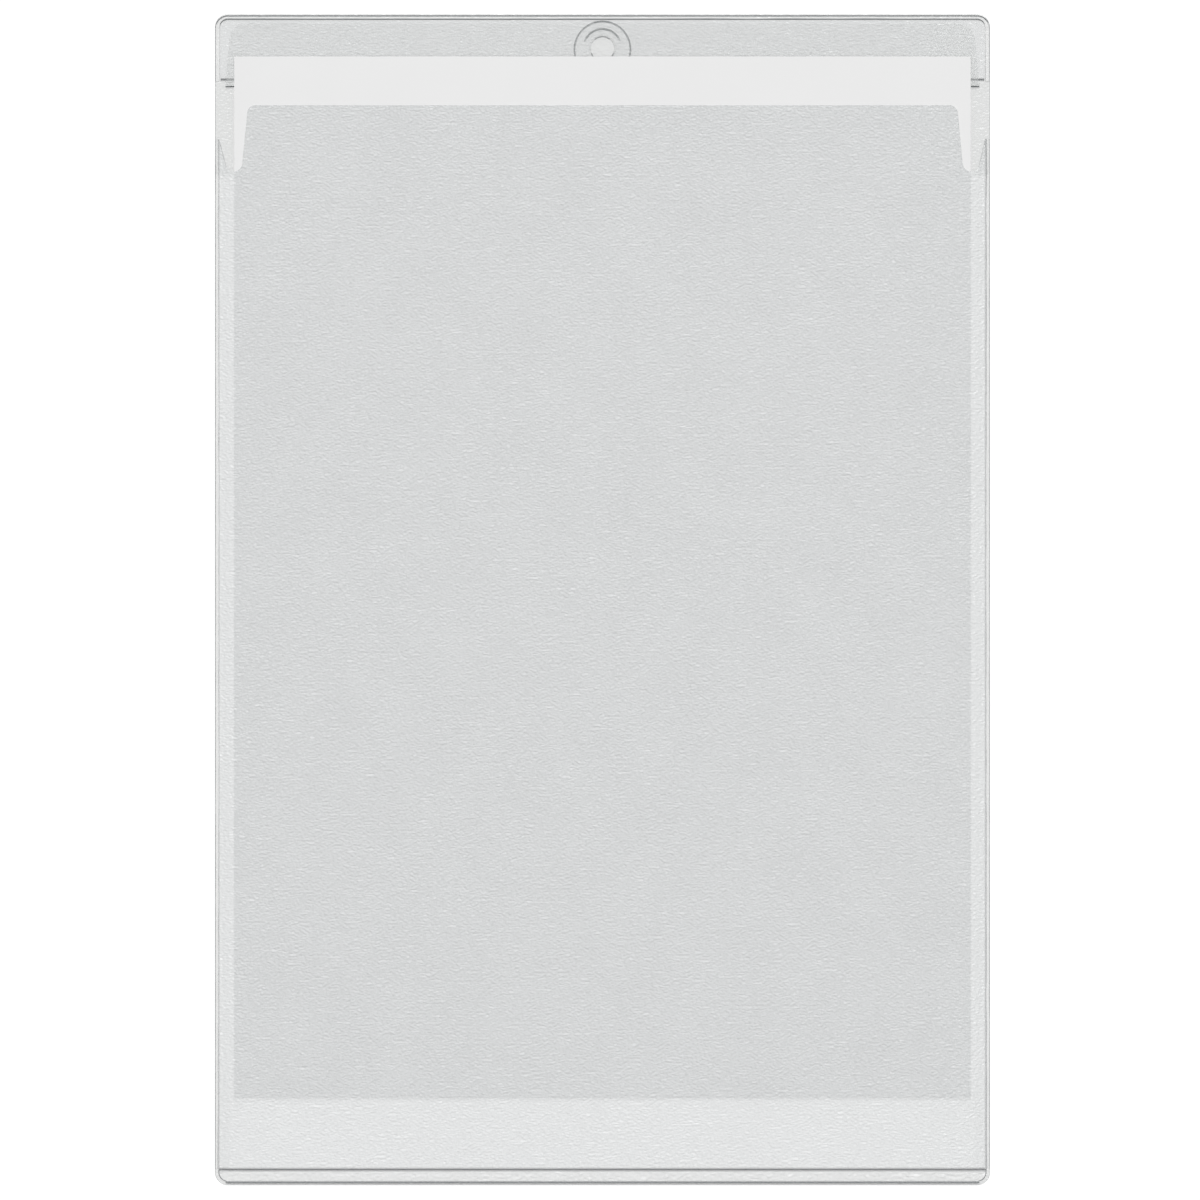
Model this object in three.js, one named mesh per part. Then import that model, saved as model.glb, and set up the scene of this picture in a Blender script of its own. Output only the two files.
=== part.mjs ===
// Clear film pocket for an A4 sheet, with a punched header, an eyelet and a closing flap.
// Millimetres. X runs across the pocket, Y along it towards the eyelet, and Z up out of the lying pocket.
// The origin is the middle of the pocket's underside.

import * as THREE from 'three';

// Insert sheet
const SHEET_WIDTH = 210;
const SHEET_LENGTH = 297;
const SHEET_THICKNESS = 0.1;
const SHEET_PULLED_OUT = 20.2;
const SHEET_SIDE_CLEARANCE = 3.9;
const SLIDING_CLEARANCE = 0.05;

// Film and the air between films that lie on each other
const FILM_THICKNESS = 0.2;
const FILM_GAP = 0.02;
const OUTER_CORNER_RADIUS = 3.7;

// Welds
const SIDE_WELD_WIDTH = 1.6;
const BOTTOM_WELD_WIDTH = 4.7;
const TOP_WELD_WIDTH = 1.3;
const CROSS_WELD_WIDTH = 0.85;

// Eyelet: a short barrel through the films, with a raised collar and a flange round it
const EYELET_HOLE_DIAMETER = 6.5;
const EYELET_BARREL_WALL = 0.5;
const EYELET_COLLAR_WIDTH = 1.95;
const EYELET_FLANGE_WIDTH = 2.85;
const EYELET_FLANGE_THICKNESS = 0.12;
const EYELET_COLLAR_HEIGHT = 0.1;
const EYELET_EDGE_CHAMFER = 0.05;
const EYELET_FILM_CLEARANCE = 0.05;
const EYELET_TO_TOP_WELD = 0.55;
const EYELET_TO_CROSS_WELD = 0.325;

// Front film: a tab stands up between two notches, and the side welds end where the notches begin
const TAB_ABOVE_SHEET = 6.3;
const TAB_CORNER_RADIUS = 2.4;
const TAB_CORNER_TO_NOTCH = 4.0;
const NOTCH_FROM_SIDE = 5.4;
const NOTCH_DEPTH = 18.9;
const NOTCH_RADIUS = 2.4;
const SIDE_WELD_BELOW_TAB = 9.7;

// Flap: the film runs on from the cross weld as a short hem, turns over at a crease and lies on the header
const MOUTH_TO_CREASE = 5.3;
const HEM_DEPTH = 2.0;
const FLAP_SIDE_MARGIN = 3.0;
const FLAP_TIP_INSET = 1.15;
const FLAP_TO_TOP_WELD = 1.5;
const FLAP_CORNER_RADIUS = 5;

// Fineness of the round shapes
const CORNER_STEPS = 10;
const ROUND_SEGMENTS = 64;

// Widths that follow, measured from the middle
const sheetHalfWidth = SHEET_WIDTH / 2;
const innerHalfWidth = sheetHalfWidth + SHEET_SIDE_CLEARANCE;
const halfWidth = innerHalfWidth + SIDE_WELD_WIDTH;
const flapRootHalfWidth = halfWidth - FLAP_SIDE_MARGIN;
const flapTipHalfWidth = flapRootHalfWidth - FLAP_TIP_INSET;
const notchX = halfWidth - NOTCH_FROM_SIDE;
const tabCornerX = notchX - TAB_CORNER_TO_NOTCH;

// Radii of the eyelet
const holeRadius = EYELET_HOLE_DIAMETER / 2;
const barrelRadius = holeRadius + EYELET_BARREL_WALL;
const collarRadius = holeRadius + EYELET_COLLAR_WIDTH;
const flangeRadius = collarRadius + EYELET_FLANGE_WIDTH;
const filmHoleRadius = barrelRadius + EYELET_FILM_CLEARANCE;

// Heights above the pocket's bottom edge, and the middle of the pocket between its ends
const homeSheetTop = BOTTOM_WELD_WIDTH + SHEET_LENGTH;
const creaseHeight = homeSheetTop + TAB_ABOVE_SHEET + MOUTH_TO_CREASE;
const headerInside = EYELET_TO_CROSS_WELD + 2 * flangeRadius + EYELET_TO_TOP_WELD;
const pocketLength = creaseHeight + HEM_DEPTH + CROSS_WELD_WIDTH / 2 + headerInside + TOP_WELD_WIDTH;

// Places along the pocket
const pocketBottom = -pocketLength / 2;
const pocketTop = pocketLength / 2;
const bottomWeldTop = pocketBottom + BOTTOM_WELD_WIDTH;
const sheetBottom = bottomWeldTop + SHEET_PULLED_OUT;
const tabTop = pocketBottom + homeSheetTop + TAB_ABOVE_SHEET;
const sideWeldTop = tabTop - SIDE_WELD_BELOW_TAB;
const notchY = tabTop - NOTCH_DEPTH + NOTCH_RADIUS;
const creaseY = pocketBottom + creaseHeight;
const crossWeldMiddle = creaseY + HEM_DEPTH;
const crossWeldBottom = crossWeldMiddle - CROSS_WELD_WIDTH / 2;
const crossWeldTop = crossWeldMiddle + CROSS_WELD_WIDTH / 2;
const eyeletY = crossWeldTop + EYELET_TO_CROSS_WELD + flangeRadius;
const topWeldBottom = pocketTop - TOP_WELD_WIDTH;
const flapLength = topWeldBottom - FLAP_TO_TOP_WELD - creaseY;

// Levels, from the table up
const backTop = FILM_THICKNESS;
const headerBottom = backTop + FILM_GAP;
const headerTop = headerBottom + FILM_THICKNESS;
const eyeletTop = headerTop + EYELET_FLANGE_THICKNESS + EYELET_COLLAR_HEIGHT;
const flapBottom = eyeletTop + SLIDING_CLEARANCE;
const flapTop = flapBottom + FILM_THICKNESS;
const sheetUnderside = flapTop + SLIDING_CLEARANCE;
const frontBottom = sheetUnderside + SHEET_THICKNESS + SLIDING_CLEARANCE;
const frontTop = frontBottom + FILM_THICKNESS;

// The flap turns about a line that lets it lie flat on the header when open and flat on the tab when closed
const closedFlapBottom = frontTop + FILM_GAP;
const hingeZ = (flapBottom + closedFlapBottom + FILM_THICKNESS) / 2;

// Materials
function film(color, opacity, roughness) {
  return new THREE.MeshStandardMaterial({ color, roughness, metalness: 0, transparent: true, opacity });
}

const filmMaterial = () => film(0xe9ecec, 0.35, 0.38);
const weldMaterial = () => film(0xdfe3e3, 0.6, 0.25);
const eyeletMaterial = () => film(0xe4e8e8, 0.5, 0.2);
const paperMaterial = () => new THREE.MeshStandardMaterial({ color: 0xeeeeee, roughness: 0.9, metalness: 0 });

const at = (x, y) => new THREE.Vector2(x, y);

// Points of an arc, from one angle to another
function arcPoints(centre, radius, from, to, steps = CORNER_STEPS) {
  const points = [];
  for (let step = 0; step <= steps; step += 1) {
    const angle = from + ((to - from) * step) / steps;
    points.push(at(centre.x + radius * Math.cos(angle), centre.y + radius * Math.sin(angle)));
  }
  return points;
}

// A rounded corner at the middle one of three points
function cornerPoints(before, corner, after, radius) {
  const back = before.clone().sub(corner).normalize();
  const ahead = after.clone().sub(corner).normalize();
  const halfAngle = Math.acos(back.dot(ahead)) / 2;
  const towards = back.clone().add(ahead).normalize();
  const centre = corner.clone().addScaledVector(towards, radius / Math.sin(halfAngle));
  const reach = radius / Math.tan(halfAngle);
  const start = corner.clone().addScaledVector(back, reach).sub(centre);
  const end = corner.clone().addScaledVector(ahead, reach).sub(centre);
  const from = start.angle();
  const turn = Math.atan2(start.cross(end), start.dot(end));
  return arcPoints(centre, radius, from, from + turn);
}

// The same points on the pocket's left, in the order that keeps the faces pointing out
function onTheLeft(points) {
  return points.map((point) => at(-point.x, point.y)).reverse();
}

// A closed shape from the points of its right half, listed upwards
function mirroredShape(rightHalf) {
  return new THREE.Shape([...rightHalf, ...onTheLeft(rightHalf)]);
}

// A plate with the shape's outline between two levels
function plate(shape, bottom, top) {
  const geometry = new THREE.ExtrudeGeometry(shape, { depth: top - bottom, bevelEnabled: false });
  geometry.translate(0, 0, bottom);
  return geometry;
}

// A straight bar between two corners
function bar(x0, x1, y0, y1, bottom, top) {
  const geometry = new THREE.BoxGeometry(x1 - x0, y1 - y0, top - bottom);
  geometry.translate((x0 + x1) / 2, (y0 + y1) / 2, (bottom + top) / 2);
  return geometry;
}

function part(name, geometry, material) {
  const mesh = new THREE.Mesh(geometry, material);
  mesh.name = name;
  return mesh;
}

const lowerCorner = cornerPoints(
  at(0, pocketBottom), at(halfWidth, pocketBottom), at(halfWidth, 0), OUTER_CORNER_RADIUS);
const upperCorner = cornerPoints(
  at(halfWidth, 0), at(halfWidth, pocketTop), at(0, pocketTop), OUTER_CORNER_RADIUS);

// Where the pocket's upper corner crosses a height
function upperCornerAt(y) {
  const rise = y - (pocketTop - OUTER_CORNER_RADIUS);
  const reach = Math.sqrt(OUTER_CORNER_RADIUS ** 2 - rise ** 2);
  return at(halfWidth - OUTER_CORNER_RADIUS + reach, y);
}

// The pocket's part of the back film ends under the middle of the cross weld
function backPanel() {
  return plate(mirroredShape([...lowerCorner, at(halfWidth, crossWeldMiddle)]), 0, backTop);
}

// The right half of a header film: its outline upwards, then down the middle round half the eyelet's hole
function headerHalf(outline) {
  const middle = at(0, eyeletY);
  const halfHole = arcPoints(middle, filmHoleRadius, Math.PI / 2, -Math.PI / 2, ROUND_SEGMENTS / 2);
  return [...outline, ...halfHole];
}

const headerRearHalf = headerHalf([
  at(0, crossWeldMiddle), at(halfWidth, crossWeldMiddle), ...upperCorner, at(0, pocketTop)]);
const headerFrontHalf = headerHalf([
  at(0, crossWeldTop), at(innerHalfWidth, crossWeldTop), at(innerHalfWidth, topWeldBottom), at(0, topWeldBottom)]);

function topWeld() {
  const inUpperCorner = upperCorner.filter((point) => point.y > topWeldBottom);
  return plate(mirroredShape([upperCornerAt(topWeldBottom), ...inUpperCorner]), backTop, headerTop);
}

// The header's right weld follows the pocket's corner and ends under the top weld
const headerWeldOutline = [
  at(innerHalfWidth, crossWeldBottom),
  at(halfWidth, crossWeldBottom),
  ...upperCorner.filter((point) => point.y < topWeldBottom),
  upperCornerAt(topWeldBottom),
  at(innerHalfWidth, topWeldBottom),
];

function crossWeld() {
  return bar(-innerHalfWidth, innerHalfWidth, crossWeldBottom, crossWeldTop, backTop, headerTop);
}

function flapHem() {
  return bar(-flapRootHalfWidth, flapRootHalfWidth, creaseY, crossWeldBottom, headerBottom, headerTop);
}

function eyeletRing() {
  const flangeTop = headerTop + EYELET_FLANGE_THICKNESS;
  const profile = [
    at(holeRadius, 0),
    at(barrelRadius, 0),
    at(barrelRadius, headerTop),
    at(flangeRadius, headerTop),
    at(flangeRadius, flangeTop - EYELET_EDGE_CHAMFER),
    at(flangeRadius - EYELET_EDGE_CHAMFER, flangeTop),
    at(collarRadius, flangeTop),
    at(collarRadius - EYELET_EDGE_CHAMFER, eyeletTop),
    at(holeRadius + EYELET_EDGE_CHAMFER, eyeletTop),
    at(holeRadius, eyeletTop - EYELET_EDGE_CHAMFER),
    at(holeRadius, 0),
  ];
  const geometry = new THREE.LatheGeometry(profile, ROUND_SEGMENTS);
  geometry.rotateX(Math.PI / 2);
  return geometry;
}

// The flap's panel in its own frame, with the crease line as its origin
function flapPanel() {
  const root = at(flapRootHalfWidth, 0);
  const tip = at(flapTipHalfWidth, flapLength);
  const shape = mirroredShape([root, ...cornerPoints(root, tip, at(0, flapLength), FLAP_CORNER_RADIUS)]);
  return plate(shape, flapBottom - hingeZ, flapTop - hingeZ);
}

// Angle at which a straight line from a point touches the notch's round bottom
function touchAngle(point, centre, side) {
  const away = point.clone().sub(centre);
  return away.angle() + side * Math.acos(NOTCH_RADIUS / away.length());
}

function frontPanel() {
  const tabCorner = at(tabCornerX, tabTop);
  const notchCentre = at(notchX, notchY);
  const seamTop = at(innerHalfWidth, sideWeldTop);
  const outerTouch = touchAngle(seamTop, notchCentre, -1);
  const innerTouch = touchAngle(tabCorner, notchCentre, 1);
  const notch = arcPoints(notchCentre, NOTCH_RADIUS, outerTouch, innerTouch - 2 * Math.PI);
  const tab = cornerPoints(notch[notch.length - 1], tabCorner, at(0, tabTop), TAB_CORNER_RADIUS);
  const shape = mirroredShape([...lowerCorner, at(halfWidth, sideWeldTop), seamTop, ...notch, ...tab]);
  return plate(shape, frontBottom, frontTop);
}

function bottomWeld() {
  return plate(mirroredShape([...lowerCorner, at(halfWidth, bottomWeldTop)]), backTop, frontBottom);
}

function sideWeld(x0, x1) {
  return bar(x0, x1, bottomWeldTop, sideWeldTop, backTop, frontBottom);
}

function insertSheet() {
  return bar(-sheetHalfWidth, sheetHalfWidth, 0, SHEET_LENGTH, 0, SHEET_THICKNESS);
}

const sleeve = new THREE.Group();
sleeve.add(part('back_panel', backPanel(), filmMaterial()));
for (const [side, sided] of [['left', onTheLeft], ['right', (points) => points]]) {
  const rear = new THREE.Shape(sided(headerRearHalf));
  const front = new THREE.Shape(sided(headerFrontHalf));
  const weld = new THREE.Shape(sided(headerWeldOutline));
  sleeve.add(part(`header_rear_${side}`, plate(rear, 0, backTop), filmMaterial()));
  sleeve.add(part(`header_front_${side}`, plate(front, headerBottom, headerTop), filmMaterial()));
  sleeve.add(part(`header_weld_${side}`, plate(weld, backTop, headerTop), weldMaterial()));
}
sleeve.add(part('top_weld', topWeld(), weldMaterial()));
sleeve.add(part('cross_weld', crossWeld(), weldMaterial()));
sleeve.add(part('flap_hem', flapHem(), filmMaterial()));
sleeve.add(part('bottom_weld', bottomWeld(), weldMaterial()));
sleeve.add(part('side_weld_right', sideWeld(innerHalfWidth, halfWidth), weldMaterial()));
sleeve.add(part('side_weld_left', sideWeld(-halfWidth, -innerHalfWidth), weldMaterial()));
sleeve.add(part('front_panel', frontPanel(), filmMaterial()));

const eyelet = part('eyelet_ring', eyeletRing(), eyeletMaterial());
eyelet.position.set(0, eyeletY, 0);
sleeve.add(eyelet);

const flap = new THREE.Group();
flap.position.set(0, creaseY, hingeZ);
flap.add(part('flap_panel', flapPanel(), filmMaterial()));

const sheet = new THREE.Group();
sheet.position.set(0, sheetBottom, sheetUnderside);
sheet.add(part('insert_sheet', insertSheet(), paperMaterial()));

const pocket = new THREE.Group();
pocket.add(sleeve, flap, sheet);

export default pocket;
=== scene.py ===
# Clear film pocket for an A4 sheet: welded films, a header with an eyelet, a folded flap and a paper sheet.
# Lengths are millimetres in the pocket's own frame, and become metres where a mesh is made.
import math

import bmesh
import bpy
import numpy as np
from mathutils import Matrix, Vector, noise
from mathutils.geometry import delaunay_2d_cdt

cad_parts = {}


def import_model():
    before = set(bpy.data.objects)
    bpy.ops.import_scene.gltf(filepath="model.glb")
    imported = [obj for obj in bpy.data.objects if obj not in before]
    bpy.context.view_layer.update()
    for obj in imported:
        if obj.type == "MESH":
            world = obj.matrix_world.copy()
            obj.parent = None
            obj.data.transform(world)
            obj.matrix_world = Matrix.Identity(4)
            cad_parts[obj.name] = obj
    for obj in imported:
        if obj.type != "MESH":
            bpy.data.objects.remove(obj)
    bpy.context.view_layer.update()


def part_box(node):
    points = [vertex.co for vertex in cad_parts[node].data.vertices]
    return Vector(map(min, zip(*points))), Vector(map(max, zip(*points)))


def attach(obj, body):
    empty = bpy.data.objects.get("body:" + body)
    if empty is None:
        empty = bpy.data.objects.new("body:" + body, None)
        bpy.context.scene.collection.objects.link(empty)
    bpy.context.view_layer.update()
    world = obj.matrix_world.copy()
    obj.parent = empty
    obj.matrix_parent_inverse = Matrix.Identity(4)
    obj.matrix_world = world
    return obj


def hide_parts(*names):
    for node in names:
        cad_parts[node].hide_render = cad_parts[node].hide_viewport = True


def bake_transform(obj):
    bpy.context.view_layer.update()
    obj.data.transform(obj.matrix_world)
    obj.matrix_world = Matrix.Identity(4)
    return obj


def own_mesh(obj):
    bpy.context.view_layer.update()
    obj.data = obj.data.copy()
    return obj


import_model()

MM = 0.001


def cad(node):
    """Lowest and highest corner of a solid, in millimetres."""
    low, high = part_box(node)
    return low / MM, high / MM


# Sizes read from the solids
back_low, back_high = cad("back_panel")
front_low, front_high = cad("front_panel")
header_low, header_high = cad("header_front_right")
flap_low, flap_high = cad("flap_panel")
hem_low, hem_high = cad("flap_hem")
sheet_low, sheet_high = cad("insert_sheet")
eyelet_low, eyelet_high = cad("eyelet_ring")
cross_low, cross_high = cad("cross_weld")
bottom_high = cad("bottom_weld")[1]
seam_high = cad("side_weld_right")[1]

half_width = back_high.x
pocket_bottom = back_low.y
pocket_top = cad("top_weld")[1].y
film = back_high.z - back_low.z
back_top = back_high.z
inner_half = cross_high.x
eyelet_y = (eyelet_low.y + eyelet_high.y) / 2

# Outline of the pocket, the notched mouth and the flap, which reaches a little past its solid
OUTER_CORNER = 3.7
NOTCH_FROM_SIDE = 5.4
NOTCH_DEPTH = 18.9
NOTCH_RADIUS = 2.4
TAB_CORNER_TO_NOTCH = 4.0
TAB_CORNER = 2.4
FLAP_TIP_INSET = 1.15
FLAP_CORNER = 5.0
FLAP_TAPER_DEGREES = 3
FLAP_OVER = 0.3
CREASE_BULGE = 0.15

# How far the upper face of a film is drawn in at its cut edge
BACK_BEVEL = 0.12
FRONT_BEVEL = 0.06
FLAP_BEVEL = 0.02

# Welded rims: how far each reaches in from the outline, and the gaps to the films beside and under them
HEADER_RIM = 1.77
HEADER_SIDE_RIM = 1.45
LEFT_RIM = 1.15
RIGHT_RIM = 1.35
SEAM_GAP = 0.03
SEAT_GAP = 0.02

# The back film's cut edge is in dark painted shade only this near to the pocket's sides
DARK_EDGE = 1.0

# Eyelet: its radii, the collar's height, and how far its collar and flange lie off the hole's middle
HOLE_RADIUS = 3.25
BARREL_RADIUS = 3.75
COLLAR_RADIUS = 5.35
FLANGE_RADIUS = 8.25
FILM_HOLE = 3.77
COLLAR_HEIGHT = 0.1
COLLAR_RISE = 0.2
COLLAR_ZONE = 0.45
FLANGE_DROP = 0.2
FLANGE_ZONE = 0.9

# Sines of the angles round the eyelet from which its collar and the rim of its hole are in painted shade: the
# collar towards the pocket's top, the hole's rim towards its top and its foot
COLLAR_DARK_FROM = 0.54
COLLAR_SOFT_FROM = 0.34
HOLE_DARK_FROM = 0.78
HOLE_DARK_BELOW = -0.38

# Fineness of the meshes, where they are sharp, and which triangles are joined into quads
GRID = 4.0
FINE_GRID = 2.0
ARC_STEPS = 12
EYELET_STEPS = 128
SHARP_ANGLE = math.radians(35)
JOIN_FACE_ANGLE = 0.02
JOIN_SHAPE_ANGLE = 0.3
MERGE_WITHIN = 0.002

# Grain of the plastics, in cells that are wider than high, and the slow clouding of their colour
GRAIN_PER_MM = 1.6
GRAIN_STRETCH = 1.5
GRAIN_TWIST = 0.2
CLOUD_PER_MM = 0.06
CLOUDING = 0.02
PLASTIC_IOR = 1.54

# Finishes of faces. The eyelet's collar and hole take one of the others by the angle round it.
# EDGE and SOFT are painted shade, dark and lighter, for the lines where welds, folds and cut edges shade.
PLAIN, EDGE, UNDER, SOFT, OWN, COLLAR, HOLE = range(7)

# Sockets of a Mix node: its two values, its two colours, and the colour that it gives
VALUE_A, VALUE_B, COLOUR_A, COLOUR_B, COLOUR_OUT = 2, 3, 6, 7, 2


def new_nodes(owner):
    """An empty node tree on a material or world, with the function that adds a node to it."""
    owner.use_nodes = True
    tree = owner.node_tree
    tree.nodes.clear()

    def add(kind, inputs=(), **settings):
        made = tree.nodes.new(kind)
        for key, value in settings.items():
            setattr(made, key, value)
        for key, value in dict(inputs).items():
            if isinstance(value, bpy.types.NodeSocket):
                tree.links.new(value, made.inputs[key])
            else:
                made.inputs[key].default_value = value
        return made

    return add


def noise_value(add, place, scale, stretch=1.0, distortion=0.0):
    """Flat noise from 0 to 1 on flat film coordinates, of about that many swells per millimetre."""
    per_metre = 1 / MM
    scaled = add("ShaderNodeVectorMath", {0: place, 1: (per_metre / stretch, per_metre, 0.0)},
                 operation="MULTIPLY")
    swell = add("ShaderNodeTexNoise",
                {"Vector": scaled.outputs[0], "Scale": scale, "Detail": 0.0, "Distortion": distortion},
                noise_dimensions="2D")
    return swell.outputs["Fac"]


def plastic(name, colour, opacity, roughness, relief, cell=1.0, gloss=0.5):
    """Clear plastic: its own haze at a plain opacity, faintly clouded, with a pressed leather grain, whose
    height is relief in millimetres. A larger cell makes it coarser."""
    material = bpy.data.materials.new(name)
    add = new_nodes(material)
    place = add("ShaderNodeAttribute", attribute_name="flat_place").outputs["Vector"]
    height = noise_value(add, place, GRAIN_PER_MM / cell, GRAIN_STRETCH, GRAIN_TWIST)
    cloud = noise_value(add, place, CLOUD_PER_MM)
    dark = tuple(c * (1 - CLOUDING) for c in colour) + (1.0,)
    light = tuple(min(1.0, c * (1 + CLOUDING)) for c in colour) + (1.0,)
    tint = add("ShaderNodeMix", {"Factor": cloud, COLOUR_A: dark, COLOUR_B: light},
               data_type="RGBA").outputs[COLOUR_OUT]
    bump = add("ShaderNodeBump", {"Strength": 1.0, "Distance": relief * MM, "Height": height})
    shader = add("ShaderNodeBsdfPrincipled", {
        "Base Color": tint,
        "Roughness": roughness,
        "Normal": bump.outputs[0],
        "Alpha": opacity,
        "IOR": PLASTIC_IOR,
        "Specular IOR Level": gloss,
    })
    add("ShaderNodeOutputMaterial", {"Surface": shader.outputs[0]})
    return material


def smooth_side(name, colour, opacity, roughness):
    """The films' undersides, which have no grain."""
    material = bpy.data.materials.new(name)
    add = new_nodes(material)
    shader = add("ShaderNodeBsdfPrincipled", {
        "Base Color": (*colour, 1.0),
        "Roughness": roughness,
        "Alpha": opacity,
        "IOR": PLASTIC_IOR,
    })
    add("ShaderNodeOutputMaterial", {"Surface": shader.outputs[0]})
    return material


# Paper: its two shades, its fibres and clouds per metre, and how the fibres stand out
PAPER_SHADE = (0.804, 0.804, 0.804, 1.0)
PAPER_LIGHT = (0.819, 0.819, 0.819, 1.0)
PAPER_FIBRES = 1500.0
PAPER_CLOUDS = 60.0
PAPER_RELIEF = 0.01
PAPER_BUMP = 0.4
PAPER_ROUGHNESS = (0.85, 0.95)
PAPER_GLOSS = 0.2


def paper_material():
    """Matte white office paper with faint fibres."""
    material = bpy.data.materials.new("paper")
    add = new_nodes(material)
    place = add("ShaderNodeAttribute", attribute_name="flat_place").outputs["Vector"]
    fibre, cloud = (add("ShaderNodeTexNoise", {"Vector": place, "Scale": scale, "Detail": 1.0},
                        noise_dimensions="2D").outputs["Fac"] for scale in (PAPER_FIBRES, PAPER_CLOUDS))
    spread = add("ShaderNodeMath", {0: fibre, 1: 0.5, 2: cloud}, operation="MULTIPLY_ADD").outputs[0]
    tint = add("ShaderNodeMix", {"Factor": spread, COLOUR_A: PAPER_SHADE, COLOUR_B: PAPER_LIGHT},
               data_type="RGBA").outputs[COLOUR_OUT]
    smoothest, roughest = PAPER_ROUGHNESS
    rough = add("ShaderNodeMapRange", {"Value": fibre, "To Min": smoothest, "To Max": roughest})
    bump = add("ShaderNodeBump", {"Strength": PAPER_BUMP, "Distance": PAPER_RELIEF * MM, "Height": fibre})
    shader = add("ShaderNodeBsdfPrincipled", {
        "Base Color": tint,
        "Roughness": rough.outputs[0],
        "Normal": bump.outputs[0],
        "Specular IOR Level": PAPER_GLOSS,
    })
    add("ShaderNodeOutputMaterial", {"Surface": shader.outputs[0]})
    return material


# Values that several finishes share
FILM_COLOUR = (0.747, 0.770, 0.774)
FILM_OPACITY = 0.39
BACK_RELIEF = 0.22
WELD_COLOUR = (0.885, 0.895, 0.89)
WELD_OPACITY = 0.36
WELD_ROUGHNESS = 0.22
WELD_CELL = 1.3
EYELET_COLOUR = (0.96, 0.97, 0.965)
EYELET_OPACITY = 0.02
EYELET_ROUGHNESS = 0.16
EYELET_RELIEF = 0.03
EYELET_CELL = 3.0
EDGE_ROUGHNESS = 0.5
EDGE_RELIEF = 0.05
EDGE_GLOSS = 0.1

film_finish = plastic("clear_film", FILM_COLOUR, FILM_OPACITY, roughness=0.27, relief=0.37)
back_finish = plastic("back_film", (0.76, 0.78, 0.77), opacity=0.36, roughness=0.28, relief=BACK_RELIEF)
thin_finish = plastic("back_film_clear", (0.83, 0.85, 0.84), opacity=0.07, roughness=0.2, relief=BACK_RELIEF)
header_finish = plastic("header_film", (0.66, 0.68, 0.685), FILM_OPACITY, roughness=0.2, relief=0.15)
flap_finish = plastic("flap_film", (0.77, 0.793, 0.782), opacity=0.27, roughness=0.2, relief=0.6)
weld_finish = plastic("welded_film", WELD_COLOUR, WELD_OPACITY, WELD_ROUGHNESS, relief=0.18, cell=WELD_CELL)
band_finish = plastic("welded_band", WELD_COLOUR, WELD_OPACITY, WELD_ROUGHNESS, relief=0.5, cell=WELD_CELL)
# Painted shade: dark see-through finishes for the lines where welds, folds and cut edges shade.
edge_shade = plastic("painted_edge_shade", (0.14, 0.15, 0.155), 0.8, EDGE_ROUGHNESS, EDGE_RELIEF, gloss=EDGE_GLOSS)
soft_shade = plastic("painted_soft_shade", (0.20, 0.21, 0.22), 0.40, EDGE_ROUGHNESS, EDGE_RELIEF, gloss=EDGE_GLOSS)
eyelet_finish = plastic("clear_eyelet", EYELET_COLOUR, EYELET_OPACITY, EYELET_ROUGHNESS, EYELET_RELIEF,
                        cell=EYELET_CELL)
# The barrel's dark grey is painted shade: the dark ring round the hole.
barrel_shade = plastic("eyelet_barrel_painted_shade", (0.30, 0.31, 0.31), 0.38, 0.25, EYELET_RELIEF, cell=EYELET_CELL)
paper_finish = paper_material()
film_under = smooth_side("clear_film_underside", FILM_COLOUR, opacity=0.015, roughness=0.2)
weld_under = smooth_side("welded_film_underside", WELD_COLOUR, opacity=0.25, roughness=WELD_ROUGHNESS)
eyelet_under = smooth_side("clear_eyelet_underside", EYELET_COLOUR, EYELET_OPACITY, EYELET_ROUGHNESS)

# Each piece's finishes, in the order of their numbers
front_look = (film_finish, edge_shade, film_under, soft_shade)
header_look = (header_finish, edge_shade, film_under, soft_shade)
back_look = (back_finish, edge_shade, film_under, soft_shade, thin_finish)
flap_look = (flap_finish, edge_shade, film_under, soft_shade)
band_look = (band_finish, edge_shade, weld_under, soft_shade)
weld_look = (weld_finish, edge_shade, weld_under, soft_shade)
eyelet_look = (eyelet_finish, edge_shade, eyelet_under, soft_shade, barrel_shade)
paper_look = (paper_finish, paper_finish, paper_finish)


def inside(points, loops):
    """Which points lie inside the loops, counted even and odd, so that a loop in another is a hole."""
    x, y = np.array(points, float).reshape(-1, 2).T
    found = np.zeros(len(x), bool)
    for loop in loops:
        for (ax, ay), (bx, by) in zip(loop, loop[1:] + loop[:1]):
            if ay == by:
                continue
            crosses = (ay > y) != (by > y)
            found ^= crosses & (x < ax + (y - ay) * (bx - ax) / (by - ay))
    return found


# A stretch flatter than this doesn't cross the grid, and no point is added this near to its ends
FLAT_WITHIN = 1e-6
END_SHARE = 1e-4


def cut_at_lines(line, closed, columns, rows):
    """The line with a point added wherever it crosses the grid."""
    ends = line[1:] + line[:1] if closed else line[1:]
    result = []
    for a, b in zip(line, ends):
        shares = [0.0]
        for axis, lines in enumerate((columns, rows)):
            span = b[axis] - a[axis]
            if abs(span) > FLAT_WITHIN:
                crossings = ((at - a[axis]) / span for at in lines)
                shares += [s for s in crossings if END_SHARE < s < 1 - END_SHARE]
        result += [(a[0] + (b[0] - a[0]) * s, a[1] + (b[1] - a[1]) * s) for s in sorted(shares)]
    return result if closed else result + [line[-1]]


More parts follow.
